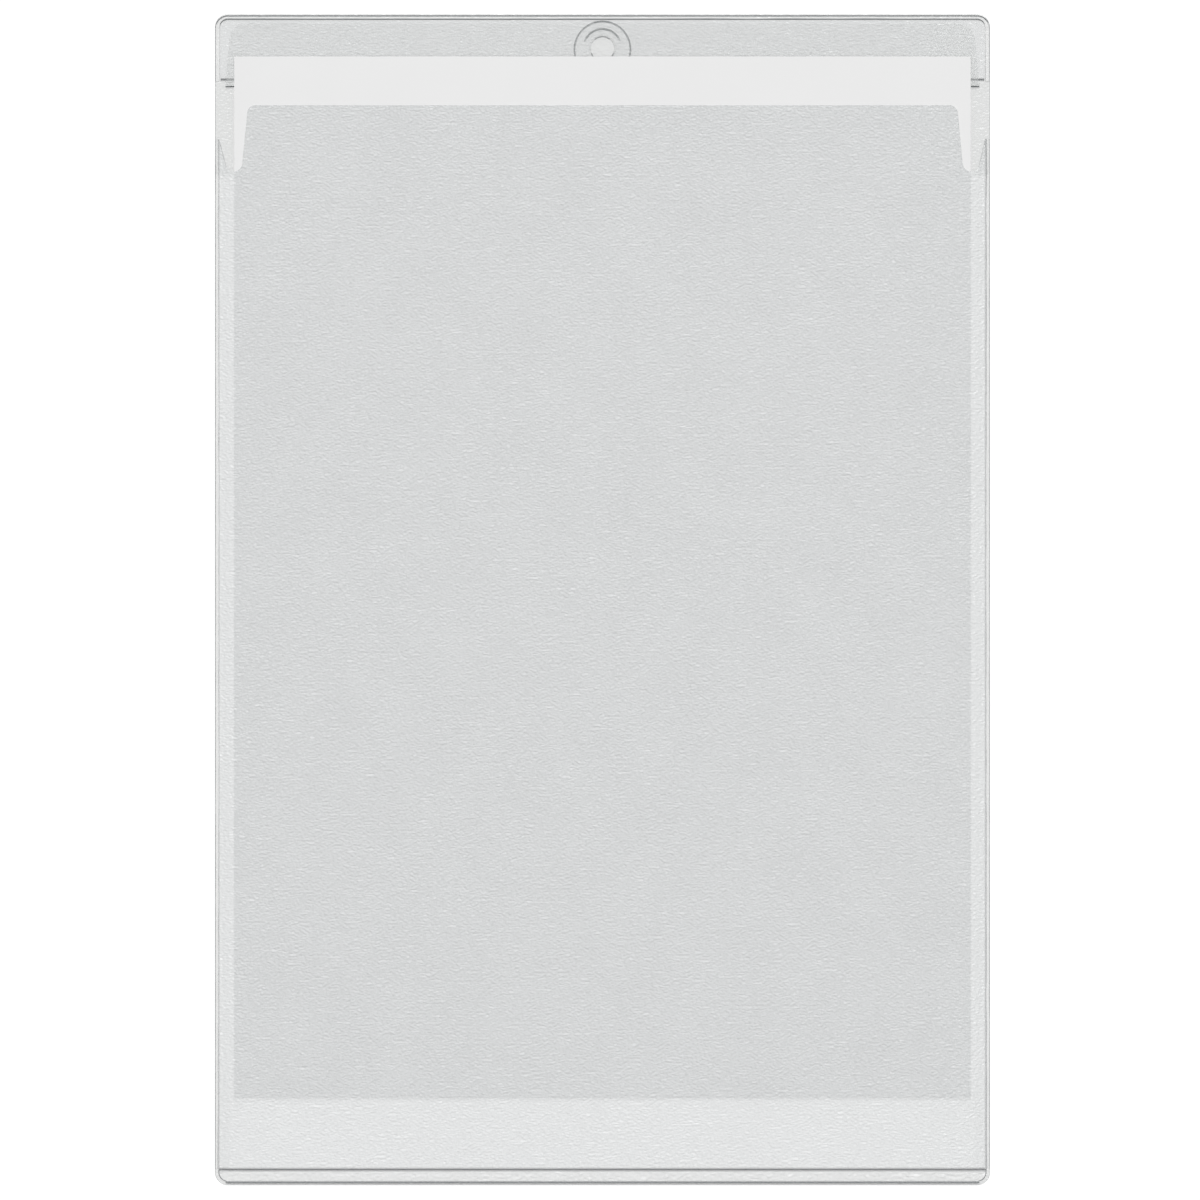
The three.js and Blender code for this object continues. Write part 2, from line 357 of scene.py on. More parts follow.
def pattern(loops, columns, rows, creases=()):
    """A flat film cut to the loops, as points and triangles on a grid. The mesh keeps the creases."""
    points, edges = [], []
    for line, closed in [(loop, True) for loop in loops] + [(crease, False) for crease in creases]:
        cut = cut_at_lines(line, closed, columns, rows)
        first = len(points)
        points += cut
        edges += [(first + i, first + i + 1) for i in range(len(cut) - 1)]
        if closed:
            edges.append((first + len(cut) - 1, first))
    grid = [(x, y) for y in rows for x in columns]
    points += [p for p, within in zip(grid, inside(grid, loops)) if within]
    flat, _, faces, _, _, _ = delaunay_2d_cdt([Vector(p) for p in points], edges, [], 0, MERGE_WITHIN)
    centres = [tuple(sum((flat[i] for i in face), Vector((0, 0))) / 3) for face in faces]
    kept = [face for face, within in zip(faces, inside(centres, loops)) if within]
    used = sorted({i for face in kept for i in face})
    number = {old: new for new, old in enumerate(used)}
    return [tuple(flat[i]) for i in used], [[number[i] for i in face] for face in kept]


def new_piece(name, points, faces, finishes, places, materials):
    """A mesh object with its finishes. places are the points' flat coordinates, which the grain follows."""
    mesh = bpy.data.meshes.new(name)
    mesh.from_pydata([Vector(p) * MM for p in points], [], faces)
    used = sorted(set(finishes))
    for finish in used:
        mesh.materials.append(materials[finish])
    mesh.polygons.foreach_set("material_index", [used.index(finish) for finish in finishes])
    mesh.polygons.foreach_set("use_smooth", [True] * len(faces))
    attribute = mesh.attributes.new("flat_place", "FLOAT_VECTOR", "POINT")
    attribute.data.foreach_set("vector", [c * MM for p in places for c in p])
    joined = bmesh.new()
    joined.from_mesh(mesh)
    bmesh.ops.join_triangles(joined, faces=joined.faces, angle_face_threshold=JOIN_FACE_ANGLE,
                             angle_shape_threshold=JOIN_SHAPE_ANGLE, cmp_materials=True)
    joined.to_mesh(mesh)
    joined.free()
    mesh.set_sharp_from_angle(angle=SHARP_ANGLE)
    piece = bpy.data.objects.new(name, mesh)
    bpy.context.scene.collection.objects.link(piece)
    return piece


def film_piece(name, flat, triangles, place, finish, materials, bevel=0.0, rim_finish=lambda u, v: EDGE):
    """A film of real thickness. place(u, v) gives its lower and upper point, finish(u, v) the finish of its
    upper faces, and rim_finish(u, v) that of its cut edge."""
    count = len(flat)
    follows = {}
    for face in triangles:
        for a, b in zip(face, face[1:] + face[:1]):
            follows[(a, b)] = follows.get((a, b), 0) + 1
    rim = [(a, b) for a, b in follows if (b, a) not in follows]
    drawn_in = [Vector(p) for p in flat]
    for a, b in rim:
        along = Vector(flat[b]) - Vector(flat[a])
        inward = Vector((-along.y, along.x)).normalized() * bevel / 2
        drawn_in[a] += inward
        drawn_in[b] += inward
    lower = [place(*p)[0] for p in flat]
    upper = [place(*p)[1] for p in drawn_in]
    faces = [[i + count for i in face] for face in triangles] + [face[::-1] for face in triangles]
    centres = [[sum(flat[i][k] for i in face) / 3 for k in (0, 1)] for face in triangles]
    finishes = [finish(*c) for c in centres]
    finishes += [UNDER] * len(triangles)
    finishes += [rim_finish(*((flat[a][k] + flat[b][k]) / 2 for k in (0, 1))) for a, b in rim]
    faces += [[a, b, b + count, a + count] for a, b in rim]
    places = [(u, v, 0.0) for u, v in flat] + [(u, v, film) for u, v in flat]
    return new_piece(name, lower + upper, faces, finishes, places, materials)


def swept_piece(name, stations, profile, materials):
    """A bar along the stations, each a point and the direction into the pocket. profile(k) lists the bar's
    section there, anticlockwise from its outer foot, as inset, height and the finish up to the next point."""
    points, faces, finishes = [], [], []
    sections = [profile(k) for k in range(len(stations))]
    size = len(sections[0])
    for (point, inward), section in zip(stations, sections):
        for inset, height, _ in section:
            points.append((point.x + inward.x * inset, point.y + inward.y * inset, height))
    for k in range(len(stations) - 1):
        for i in range(size):
            j = (i + 1) % size
            faces.append([k * size + i, (k + 1) * size + i, (k + 1) * size + j, k * size + j])
            finishes.append(sections[k][i][2])
    last = (len(stations) - 1) * size
    faces += [list(range(size)), [last + i for i in range(size)][::-1]]
    # Both ends are in dark painted shade.
    finishes += [EDGE, EDGE]
    piece = new_piece(name, points, faces, finishes, points, materials)
    fixed = bmesh.new()
    fixed.from_mesh(piece.data)
    bmesh.ops.recalc_face_normals(fixed, faces=fixed.faces)
    fixed.to_mesh(piece.data)
    fixed.free()
    return piece


def spaced(low, high, step):
    """Evenly spaced values from low to high, about a step apart."""
    count = max(1, round((high - low) / step))
    return [low + (high - low) * i / count for i in range(count + 1)]


def arc(centre, radius, start, end, steps=ARC_STEPS):
    """Points of an arc between two angles in degrees."""
    angles = [math.radians(start + (end - start) * i / steps) for i in range(steps + 1)]
    return [(centre[0] + radius * math.cos(a), centre[1] + radius * math.sin(a)) for a in angles]


def corner_arc(x, y, radius, start):
    """A quarter turn round a corner's centre, or the corner alone where it isn't rounded."""
    return arc((x, y), radius, start, start + 90) if radius else [(x, y)]


def rounded(half, bottom, top, radius_bottom, radius_top):
    """A rectangle about x = 0 with rounded corners, anticlockwise from its lower right corner."""
    low, high = bottom + radius_bottom, top - radius_top
    loop = corner_arc(half - radius_bottom, low, radius_bottom, -90)
    loop += corner_arc(half - radius_top, high, radius_top, 0)
    loop += corner_arc(radius_top - half, high, radius_top, 90)
    return loop + corner_arc(radius_bottom - half, low, radius_bottom, 180)


def circle(radius):
    """The eyelet's circle of that radius, clockwise, as a hole in a film."""
    return arc((0, eyelet_y), radius, 360, 0, EYELET_STEPS)[:-1]


def smooth(share):
    """A soft step from 0 to 1."""
    share = min(1.0, max(0.0, share))
    return share * share * (3 - 2 * share)


# Between these heights and outside this width the back film shows alone, with its whole grain
BARE_FROM = 121.0
BARE_TO = cross_low.y
BARE_BESIDE = sheet_high.x + 0.5
GRID_MARGIN = 0.1


def back_film():
    """The film that the whole pocket lies on."""
    loop = rounded(half_width, pocket_bottom, pocket_top, OUTER_CORNER, OUTER_CORNER)
    side = half_width - GRID_MARGIN
    columns = [-side] + spaced(-BARE_BESIDE, BARE_BESIDE, 2 * GRID) + [side]
    rows = spaced(pocket_bottom + GRID_MARGIN, BARE_FROM, 2 * GRID) + spaced(BARE_FROM, BARE_TO, 2 * GRID)[1:]
    rows += spaced(BARE_TO, pocket_top - GRID_MARGIN, 2 * GRID)[1:]
    flat, triangles = pattern([loop, circle(FILM_HOLE)], columns, rows)

    # Elsewhere the back film takes a clearer copy of its finish, partly painted light: it keeps faint the
    # shade that the sheet and films cast on it.
    def finish(x, y):
        return PLAIN if abs(x) > BARE_BESIDE and BARE_FROM < y < BARE_TO else OWN

    def rim_finish(x, y):
        return EDGE if abs(x) > half_width - DARK_EDGE else PLAIN

    piece = film_piece("back_film", flat, triangles, lambda x, y: ((x, y, 0.0), (x, y, back_top)),
                       finish, back_look, BACK_BEVEL, rim_finish)
    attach(piece, "sleeve")
    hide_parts("back_panel", "header_rear_left", "header_rear_right")


# The front film lies level over the sheet's whole travel, with slow waves, and comes down to the welds
LEVEL_HALF = sheet_high.x + 0.3
FILM_FOOT = back_top + SEAM_GAP
STEP_START = bottom_high.y + 0.17
STEP_END = bottom_high.y - 0.05
STEP_SOFT_TO = STEP_START + 0.2
FREE_EDGE_FROM = half_width - 3.3
SLOPE_GRID = 0.6
STEP_GRID = 0.06
FINE_FROM = 116.0
WAVE_HEIGHT = 0.22
WAVE_LENGTH = 48.0
WAVE_STRETCH = 0.6
WAVE_SEED = 7.0
WAVE_BELOW = 115.0
WAVE_FADE = 30.0
WAVE_TOP_FADE = 40.0


def front_level(x, y):
    """Height of the front film's underside."""
    rim = half_width - (LEFT_RIM if x < 0 else RIGHT_RIM)
    beside = 1 - smooth((abs(x) - LEVEL_HALF) / (rim - LEVEL_HALF))
    above = 1 - smooth((STEP_START - y) / (STEP_START - STEP_END))
    free = smooth((LEVEL_HALF - abs(x)) / WAVE_FADE) * smooth((WAVE_BELOW - y) / WAVE_TOP_FADE)
    free *= smooth((y - STEP_START) / WAVE_FADE)
    swell = 0.5 + 0.5 * noise.noise(Vector((x, y * WAVE_STRETCH, WAVE_SEED)) / WAVE_LENGTH)
    return FILM_FOOT + (front_low.z - FILM_FOOT) * beside * above + WAVE_HEIGHT * free * swell


def touch_angle(point, centre, side):
    """Angle in degrees at which a line from a point touches the notch's round bottom."""
    away = Vector(point) - Vector(centre)
    return math.degrees(math.atan2(away.y, away.x) + side * math.acos(NOTCH_RADIUS / away.length))


def front_loop():
    """Outline of the front film, with its notched mouth."""
    right, left = half_width - RIGHT_RIM - SEAM_GAP, -half_width + LEFT_RIM + SEAM_GAP
    notch = (half_width - NOTCH_FROM_SIDE, front_high.y - NOTCH_DEPTH + NOTCH_RADIUS)
    corner = (notch[0] - TAB_CORNER_TO_NOTCH, front_high.y)
    loop = []
    for side, edge in ((1, right), (-1, left)):
        seam = (edge * side, seam_high.y)
        outer = touch_angle(seam, notch, -1)
        inner = touch_angle(corner, notch, 1)
        valley = arc(notch, NOTCH_RADIUS, outer, inner - 360)
        rise = Vector(corner) - Vector(valley[-1])
        slope = math.degrees(math.atan2(rise.y, rise.x))
        reach = TAB_CORNER * math.tan(math.radians(180 - slope) / 2)
        away = Vector(corner) - rise.normalized() * reach
        normal = Vector((rise.y, -rise.x)).normalized()
        middle = away - normal * TAB_CORNER
        tab = arc(tuple(middle), TAB_CORNER, slope - 90, 90)
        half = [(edge * side, STEP_END), seam] + valley + tab
        loop += half if side > 0 else [(-x, y) for x, y in half][::-1]
    return loop


def front_film():
    """The front film, with its tab, notches and the slopes down to its welds."""
    slopes = spaced(LEVEL_HALF, half_width - LEFT_RIM, SLOPE_GRID)
    columns = [-x for x in slopes[::-1]] + spaced(-LEVEL_HALF, LEVEL_HALF, GRID)[1:-1] + slopes
    rows = spaced(STEP_END, STEP_START, STEP_GRID) + spaced(STEP_SOFT_TO, FINE_FROM, GRID)
    rows += spaced(FINE_FROM, front_high.y, FINE_GRID)[1:]
    flat, triangles = pattern([front_loop()], columns, rows)

    def place(x, y):
        level = front_level(x, y)
        return (x, y, level), (x, y, level + film)

    # The step down to the bottom weld is in soft painted shade, and the cut edge near the sides in dark
    # painted shade.
    def finish(x, y):
        return SOFT if y < STEP_SOFT_TO else PLAIN

    def rim_finish(x, y):
        return EDGE if abs(x) > FREE_EDGE_FROM else PLAIN

    piece = film_piece("front_film", flat, triangles, place, finish, front_look, FRONT_BEVEL, rim_finish)
    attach(piece, "sleeve")
    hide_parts("front_panel")


def header_film():
    """The header's front film, between its rims and the cross weld, with the eyelet's hole."""
    side = half_width - HEADER_SIDE_RIM - SEAM_GAP
    bottom, top = cross_high.y + SEAM_GAP, pocket_top - HEADER_RIM - SEAM_GAP
    loop = rounded(side, bottom, top, 0, OUTER_CORNER - HEADER_SIDE_RIM)
    columns = spaced(-side, side, GRID)
    rows = spaced(bottom, top, FINE_GRID)
    flat, triangles = pattern([loop, circle(FILM_HOLE)], columns, rows)
    piece = film_piece("header_film", flat, triangles,
                       lambda x, y: ((x, y, header_low.z), (x, y, header_high.z)),
                       lambda x, y: PLAIN, header_look)
    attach(piece, "sleeve")
    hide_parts("header_front_left", "header_front_right")


# The flap film runs from the cross weld down to the crease, round it and back up over the header
hem_level = (hem_low.z + hem_high.z) / 2
flap_level = (flap_low.z + flap_high.z) / 2
turn_radius = (flap_level - hem_level) / 2
turn_y = flap_low.y - CREASE_BULGE + turn_radius + film / 2
hem_length = cross_low.y - SEAM_GAP - turn_y
turn_length = math.pi * turn_radius
flap_reach = flap_high.y - turn_y
HEM_GRID = 0.4
FLAP_GRID = 1.6
TURN_STEPS = 16


def flap_path(s):
    """Middle of the flap film and its outward direction, at a distance along the film, as y and z."""
    if s <= hem_length:
        return (cross_low.y - SEAM_GAP - s, hem_level), (0.0, -1.0)
    if s >= hem_length + turn_length:
        return (turn_y + s - hem_length - turn_length, flap_level), (0.0, 1.0)
    angle = (s - hem_length) / turn_radius
    outward = (-math.sin(angle), -math.cos(angle))
    return (turn_y + turn_radius * outward[0], hem_level + turn_radius + turn_radius * outward[1]), outward


def flap_film():
    """Hem, crease and closing flap, in one film that turns over at the crease."""
    root = flap_high.x
    tip = root - FLAP_TIP_INSET
    crease = hem_length + turn_length
    end = crease + flap_reach + FLAP_OVER
    corner = tip - FLAP_CORNER
    loop = [(root, 0.0), (root, crease)]
    loop += arc((corner, end - FLAP_CORNER), FLAP_CORNER, FLAP_TAPER_DEGREES, 90)
    loop += arc((-corner, end - FLAP_CORNER), FLAP_CORNER, 90, 180 - FLAP_TAPER_DEGREES)
    loop += [(-root, crease), (-root, 0.0)]
    columns = spaced(-root, root, GRID)
    rows = spaced(0.0, hem_length, HEM_GRID) + spaced(hem_length, crease, turn_length / TURN_STEPS)[1:]
    rows += spaced(crease, end, FLAP_GRID)[1:]
    flat, triangles = pattern([loop], columns, rows)

    def place(x, s):
        (y, z), (out_y, out_z) = flap_path(s)
        half = film / 2
        return (x, y - out_y * half, z - out_z * half), (x, y + out_y * half, z + out_z * half)

    # The turn at the crease is in dark painted shade.
    def finish(x, s):
        return EDGE if hem_length < s < crease else PLAIN

    piece = film_piece("flap_film", flat, triangles, place, finish, flap_look, FLAP_BEVEL, lambda x, s: PLAIN)
    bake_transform(piece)
    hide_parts("flap_hem", "flap_panel")


# Section of a welded rim: its crown with soft shoulders, the groove along its inside and its thin outer edge
RIM_CROWN = 0.5
RIM_SHOULDER = 0.15
RIM_SHOULDER_DROP = 0.04
RIM_GROOVE = 0.12
RIM_GROOVE_WIDTH = 0.08
RIM_EDGE = 0.03
RIM_FLANK_FOOT = 0.05


def rim_section(reach, start, outer, inner, flank):
    """Section of a welded rim: outer flank from an inset on, low crown, and inner flank down to a groove."""
    foot = back_top + SEAT_GAP
    groove = back_top + RIM_GROOVE
    valley = reach - RIM_GROOVE_WIDTH
    # The faces given flank carry painted shade: the dark lines along the welds.
    return [
        (SEAT_GAP, foot, UNDER),
        (reach, foot, PLAIN),
        (reach, groove, PLAIN),
        (valley, groove, flank),
        (valley - inner, RIM_CROWN - RIM_SHOULDER_DROP, PLAIN),
        (valley - inner - RIM_SHOULDER, RIM_CROWN, PLAIN),
        (start + outer + RIM_SHOULDER, RIM_CROWN, PLAIN),
        (start + outer, RIM_CROWN - RIM_SHOULDER_DROP, flank),
        (start, foot + RIM_FLANK_FOOT, PLAIN),
        (SEAT_GAP, foot + RIM_EDGE, PLAIN),
    ]


# Length of the slow unevenness along the welds
RIPPLE_LENGTH = 9.0


def ripple(x, y, seed):
    """Slow unevenness along a weld, from -1 to 1."""
    return 2 * noise.noise(Vector((x / RIPPLE_LENGTH, y / RIPPLE_LENGTH, seed)))


# Fineness along the welds, and how near two points count as one
RIM_GRID = 2.0
RIM_TOP_GRID = 3.0
SEAM_GRID = 1.5
SAME_PLACE = 0.01


def rim_stations():
    """Points along the header's rim, from low on the right side round the top to low on the left side."""
    right, top = half_width, pocket_top
    corner_x, corner_y = right - OUTER_CORNER, top - OUTER_CORNER
    ys = spaced(cross_low.y, corner_y, RIM_GRID)
    stations = [(Vector((right, y)), Vector((-1, 0))) for y in ys]
    for x_side, start in ((1, 0), (-1, 90)):
        centre = Vector((x_side * corner_x, corner_y))
        for i in range(ARC_STEPS + 1):
            angle = math.radians(start + 90 * i / ARC_STEPS)
            out = Vector((math.cos(angle), math.sin(angle)))
            stations.append((centre + out * OUTER_CORNER, -out))
        if x_side > 0:
            xs = spaced(-corner_x, corner_x, RIM_TOP_GRID)[1:-1][::-1]
            stations += [(Vector((x, top)), Vector((0, -1))) for x in xs]
    stations += [(Vector((-right, y)), Vector((1, 0))) for y in ys[::-1]]
    unique = [stations[0]]
    for point, inward in stations[1:]:
        if (point - unique[-1][0]).length > SAME_PLACE:
            unique.append((point, inward))
    return unique


# A header rim's outer start, outer flank and inner flank, on its sides and over its top
SIDE_FLANKS = (0.04, 0.22, 0.10)
TOP_FLANKS = (0.30, 0.44, 0.40)
RIM_UNEVEN = 0.04
RIM_SEED = 3.0
# Over the top, where a rim runs across more than this, its flanks take the dark painted shade; along the
# sides the softer one.
UPRIGHT_DARK_FROM = 0.3


def header_rims():
    """The rims round the header: one on each side and one over the top and both corners."""
    stations = rim_stations()
    corner_y = pocket_top - OUTER_CORNER
    split = [k for k, (point, _) in enumerate(stations) if abs(point.y - corner_y) < SAME_PLACE]
    first, last = split[0], split[-1]
    runs = {
        "header_seam_right": (stations[:first + 1], "header_weld_right"),
        "top_seam": (stations[first:last + 1], "top_weld"),
        "header_seam_left": (stations[last:], "header_weld_left"),
    }
    for name, (run, node) in runs.items():
        def profile(k, run=run):
            point, inward = run[k]
            upright = abs(inward.y)
            reach = HEADER_SIDE_RIM + (HEADER_RIM - HEADER_SIDE_RIM) * upright
            start, outer, inner = (a + (b - a) * upright for a, b in zip(SIDE_FLANKS, TOP_FLANKS))
            inner += RIM_UNEVEN * ripple(point.x, point.y, RIM_SEED)
            return rim_section(reach, start, outer, inner, EDGE if upright > UPRIGHT_DARK_FROM else SOFT)
        piece = swept_piece(name, run, profile, weld_look)
        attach(piece, "sleeve")
        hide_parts(node)


# Section of a side seam: its outer flank, and how far in the painted shade line along its inner edge lies,
# less at its ends
SEAM_START = 0.04
SEAM_OUTER = 0.20
SEAM_OUTER_RIPPLE = 0.06
SEAM_OUTER_SEED = 11.0
SEAM_LINE = 1.09
SEAM_LINE_SPREAD = 0.13
SEAM_LINE_RIPPLE = 0.08
SEAM_LINE_SEED = 23.0
SEAM_LINE_AT = 50.0


def side_seams():
    """The pocket's side welds, a narrow crowned bar on each side with a groove along its inner edge."""
    for side, x_side, reach in (("left", -1, LEFT_RIM), ("right", 1, RIGHT_RIM)):
        ys = spaced(bottom_high.y + SEAM_GAP, seam_high.y, SEAM_GRID)
        run = [(Vector((x_side * half_width, y)), Vector((-x_side, 0))) for y in ys]

        def profile(k, run=run, reach=reach, x_side=x_side):
            y = run[k][0].y
            outer = SEAM_OUTER + SEAM_OUTER_RIPPLE * ripple(0.0, y, SEAM_OUTER_SEED * x_side)
            inner = reach - SEAM_LINE + SEAM_LINE_SPREAD * (y / half_width) ** 2 * LEFT_RIM / reach
            inner += SEAM_LINE_RIPPLE * ripple(SEAM_LINE_AT, y, SEAM_LINE_SEED * x_side)
            return rim_section(reach, SEAM_START, outer, inner, SOFT)
        piece = swept_piece(f"side_seam_{side}", run, profile, weld_look)
        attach(piece, "sleeve")
        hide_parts(f"side_weld_{side}")


# Section of the cross seam: its groove's shoulders and floor
CROSS_SHOULDER = 0.12
CROSS_SHOULDER_DROP = 0.03
CROSS_FLOOR_FROM = 0.3
CROSS_FLOOR = 0.1


def cross_seam():
    """The pressed line that joins the header's films under the eyelet, its groove in dark painted shade."""
    run = [(Vector((x, cross_high.y)), Vector((0, -1))) for x in spaced(-inner_half, inner_half, GRID)]
    width = cross_high.y - cross_low.y
    seat = back_top + SEAT_GAP
    top = cross_high.z - SEAT_GAP
    shoulder = top - CROSS_SHOULDER_DROP
    trough = back_top + CROSS_FLOOR
    section = [
        (0.0, seat, UNDER),
        (width, seat, PLAIN),
        (width, top, PLAIN),
        (width - CROSS_SHOULDER, shoulder, EDGE),
        (width - CROSS_FLOOR_FROM, trough, EDGE),
        (CROSS_FLOOR_FROM, trough, EDGE),
        (CROSS_SHOULDER, shoulder, PLAIN),
        (0.0, top, PLAIN),
    ]
    piece = swept_piece("cross_seam", run, lambda k: section, weld_look)
    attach(piece, "sleeve")
    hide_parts("cross_weld")


# Bottom weld: a thick rim at the cut edge, a flat band and a groove, at distances in from the outline; the
# rim and the groove carry painted shade
BULGE_FOOT = 0.12
BULGE_START = 0.3
BULGE_DARK_FROM = 0.61
BULGE_MIDDLE = 0.8
BULGE_DARK_TO = 0.99
BULGE_END = 1.25
BULGE_BEYOND = 1.45
BULGE_FOOT_LEVEL = back_top + 0.1
BULGE_CROWN = 0.78
BULGE_AT_CORNERS = 0.04
CORNER_FROM_SIDE = 1.1
CORNER_FADE = 4.0
BAND_LEVEL = 0.44
BAND_ROWS = (2.4, 3.2)
BAND_COLUMNS = (1.6, 3.0, 4.5)
GROOVE_LEVEL = 0.3
GROOVE_FLANK = 0.72
GROOVE_SOFT = 0.45
GROOVE_PAST_RIM = 0.4


def rim_distance(x, y):
    """Distance from the pocket's outline, inwards."""
    over_x = abs(x) - (half_width - OUTER_CORNER)
    over_y = (pocket_bottom + OUTER_CORNER) - y
    if over_x > 0 and over_y > 0:
        return OUTER_CORNER - math.hypot(over_x, over_y)
    return min(half_width - abs(x), y - pocket_bottom)


def bottom_loop(inset):
    """The bottom corners and edge at an inset from the outline, from the left side round to the right."""
    radius = OUTER_CORNER - inset
    y = pocket_bottom + OUTER_CORNER
    x = half_width - OUTER_CORNER
    line = [(-half_width + inset, bottom_high.y)]
    line += arc((-x, y), radius, 180, 270) + arc((x, y), radius, 270, 360)
    return line + [(half_width - inset, bottom_high.y)]


def bottom_seam():
    """The bottom weld, with the pocket's lower corners."""
    groove_top = STEP_END
    band_top = groove_top - GROOVE_FLANK
    groove_dark = band_top + GROOVE_SOFT
    insets = (BULGE_FOOT, BULGE_START, BULGE_DARK_FROM, BULGE_MIDDLE, BULGE_DARK_TO, BULGE_END, BULGE_BEYOND)
    creases = [bottom_loop(inset) for inset in insets]
    creases += [[(-half_width, y), (half_width, y)] for y in (band_top, groove_dark)]
    outer, inner, last = (half_width - inset for inset in BAND_COLUMNS)
    columns = [-outer, -inner] + spaced(-last, last, GRID) + [inner, outer]
    rows = [pocket_bottom + inset for inset in BAND_ROWS] + [band_top, groove_dark, groove_top]

    def straight(x):
        return smooth((half_width - CORNER_FROM_SIDE - abs(x)) / CORNER_FADE)

    def top(x, y):
        d = rim_distance(x, y)
        bulge = math.sin(math.pi * min(1.0, max(0.0, (d - BULGE_FOOT) / (BULGE_END - BULGE_FOOT))))
        level = BAND_LEVEL + (BULGE_CROWN - BAND_LEVEL) * straight(x) * bulge + BULGE_AT_CORNERS * bulge
        if d <= BULGE_FOOT:
            level = BULGE_FOOT_LEVEL
        if y > band_top and abs(x) < half_width - LEFT_RIM:
            level -= (BAND_LEVEL - GROOVE_LEVEL) * smooth((y - band_top) / GROOVE_FLANK)
        return level

    # Painted shade: dark and soft over the thick rim and in the groove, and dark on the cut edge along the
    # top.
    def finish(x, y):
        d = rim_distance(x, y)
        if straight(x) > 0.5 and BULGE_START < d < BULGE_END:
            return EDGE if BULGE_DARK_FROM < d < BULGE_DARK_TO else SOFT
        if straight(x) <= 0.5 and BULGE_DARK_TO < d < BULGE_END:
            return EDGE
        if y > band_top and abs(x) < half_width - RIGHT_RIM + GROOVE_PAST_RIM:
            return EDGE if y > groove_dark else SOFT
        return PLAIN

    def rim_finish(x, y):
        return EDGE if y > groove_top - SAME_PLACE else PLAIN

    loop = [(x, min(y, groove_top)) for x, y in bottom_loop(SEAT_GAP)]
    flat, triangles = pattern([loop], columns, rows, creases)
    piece = film_piece("bottom_seam", flat, triangles,
                       lambda x, y: ((x, y, back_top + SEAT_GAP), (x, y, top(x, y))),
                       finish, band_look, rim_finish=rim_finish)
    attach(piece, "sleeve")
    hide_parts("bottom_weld")


def eyelet():
    """Clear moulded eyelet: barrel through the films, flange with a rolled edge, and a raised collar."""
    top = eyelet_high.z
    seat = header_high.z + SEAT_GAP
    flange = top - COLLAR_HEIGHT
    # Section from the hole's foot outwards: radius, height and the finish up to the next point
    # The barrel's foot and the flange's rolled edge carry painted shade, and so do the collar and the hole's
    # rim on some sides.
    profile = [
        (HOLE_RADIUS, 0.0, OWN),
        (BARREL_RADIUS, 0.0, PLAIN),
        (BARREL_RADIUS, seat, UNDER),
        (FLANGE_RADIUS - 0.1, seat, SOFT),
        (FLANGE_RADIUS, seat + 0.02, SOFT),
        (FLANGE_RADIUS - 0.15, seat + 0.04, EDGE),
        (FLANGE_RADIUS - 0.4, flange - 0.02, SOFT),
        (FLANGE_RADIUS - 0.55, flange - 0.01, PLAIN),
        (FLANGE_RADIUS - 0.85, flange, PLAIN),
        (COLLAR_RADIUS + 0.4, flange, PLAIN),
        (COLLAR_RADIUS + 0.35, flange + 0.01, COLLAR),
        (COLLAR_RADIUS - 0.22, top - 0.02, PLAIN),
        (COLLAR_RADIUS - 0.3, top, PLAIN),
        (HOLE_RADIUS + 0.45, top, PLAIN),
        (HOLE_RADIUS + 0.35, top - 0.02, HOLE),
        (HOLE_RADIUS, top - 0.12, PLAIN),
    ]
    size = len(profile)
    points, faces, finishes = [], [], []
    for k in range(EYELET_STEPS):
        angle = 2 * math.pi * k / EYELET_STEPS
        height = math.sin(angle)
        # Painted shade on the collar towards the pocket's top, and on the hole's rim towards its top and its
        # foot.
        collar = EDGE if height > COLLAR_DARK_FROM else SOFT if height > COLLAR_SOFT_FROM else PLAIN
        hole = EDGE if height > HOLE_DARK_FROM or height < HOLE_DARK_BELOW else PLAIN
        by_angle = {COLLAR: collar, HOLE: hole}
        for r, z, _ in profile:
            shift = COLLAR_RISE if abs(r - COLLAR_RADIUS) < COLLAR_ZONE else 0.0
            shift = -FLANGE_DROP if r > FLANGE_RADIUS - FLANGE_ZONE else shift
            points.append((r * math.cos(angle), eyelet_y + shift + r * math.sin(angle), z))
        after = (k + 1) % EYELET_STEPS
        for i in range(size):
            j = (i + 1) % size
            faces.append([k * size + i, after * size + i, after * size + j, k * size + j])
            finishes.append(by_angle.get(profile[i][2], profile[i][2]))
    piece = new_piece("eyelet", points, faces, finishes, points, eyelet_look)
    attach(piece, "sleeve")
    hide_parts("eyelet_ring")


# The fineness of the sheet's mesh
PAPER_GRID = 10.0


def sheet():
    """The A4 sheet. The closing flap pushes it home."""
    loop = [(sheet_high.x, sheet_low.y), (sheet_high.x, sheet_high.y),
            (sheet_low.x, sheet_high.y), (sheet_low.x, sheet_low.y)]
    columns = spaced(sheet_low.x, sheet_high.x, PAPER_GRID)
    rows = spaced(sheet_low.y, sheet_high.y, PAPER_GRID)
    flat, triangles = pattern([loop], columns, rows)
    piece = film_piece("paper_sheet", flat, triangles,
                       lambda x, y: ((x, y, sheet_low.z), (x, y, sheet_high.z)),
                       lambda x, y: PLAIN, paper_look)
    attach(piece, "sheet")
    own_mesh(piece)
    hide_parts("insert_sheet")


def seen_rays(add, path):
    """1 for rays of the camera, of gloss and of glass, and 0 for the rest."""
    seen = add("ShaderNodeMath", {0: path["Is Camera Ray"], 1: path["Is Glossy Ray"]}, operation="MAXIMUM")
    seen = add("ShaderNodeMath", {0: seen.outputs[0], 1: path["Is Transmission Ray"]}, operation="MAXIMUM")
    return seen.outputs[0]


